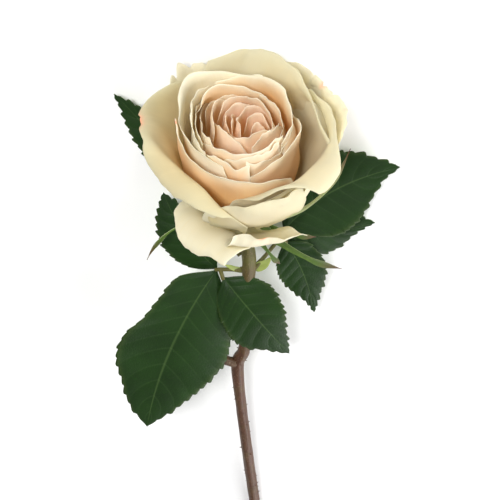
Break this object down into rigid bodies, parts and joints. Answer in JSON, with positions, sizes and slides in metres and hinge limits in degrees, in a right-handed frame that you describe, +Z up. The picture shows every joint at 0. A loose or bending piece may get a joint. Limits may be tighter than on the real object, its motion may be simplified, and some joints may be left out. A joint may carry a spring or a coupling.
{
  "type": "cut rose",
  "caption": "Cut garden-style rose lying on its side: a full cupped bloom with layered petals, calyx, serrated compound leaves and a long bare stem.",
  "frame": {"origin": "middle of the outline seen from above, on the surface the rose lies on", "axes": "+Y along the stem towards the bloom, +Z up, +X across to the right seen from the cut end"},
  "size_m": [0.1331, 0.2836, 0.0697],
  "materials": {
    "petal_cream": "soft matte, slightly velvety, thin enough to let some light through",
    "petal_peach": "soft matte, peach towards the base and pale at the margin",
    "petal_blush": "soft matte, blush pink in the folds",
    "leaf": "waxy, semi-gloss, paler veins",
    "sepal": "matte green with reddish brown tips",
    "stem": "satin, olive green below the bloom turning reddish brown"
  },
  "bodies": {
    "root": {"stem": "stem", "heart": "petal_blush", "ring_01": "petal_peach", "ring_02": "petal_peach", "ring_03": "petal_peach", "ring_04": "petal_peach", "ring_05": "petal_peach", "ring_06": "petal_peach", "ring_07": "petal_peach", "ring_08": "petal_peach", "ring_09": "petal_peach", "ring_10": "petal_peach", "ring_11": "petal_peach", "ring_12": "petal_peach", "ring_13": "petal_peach", "ring_14": "petal_peach", "ring_15": "petal_peach", "cup_left": "petal_cream", "cup_back_right": "petal_cream", "cup_back_left": "petal_cream", "cup_right": "petal_cream", "cup_front": "petal_cream", "outer_right": "petal_cream", "outer_back": "petal_cream", "outer_front": "petal_cream", "outer_left": "petal_cream", "guard_back_left": "petal_cream", "guard_back": "petal_cream", "guard_right": "petal_cream", "guard_front_right": "petal_cream", "guard_front_left": "petal_cream", "sepal_leafy": "sepal", "sepal_right": "sepal", "sepal_front": "sepal", "sepal_back": "sepal", "sepal_left": "sepal", "leaf_left": "leaf", "leaf_right": "leaf", "leaf_back": "leaf"}
  },
  "joints": []
}
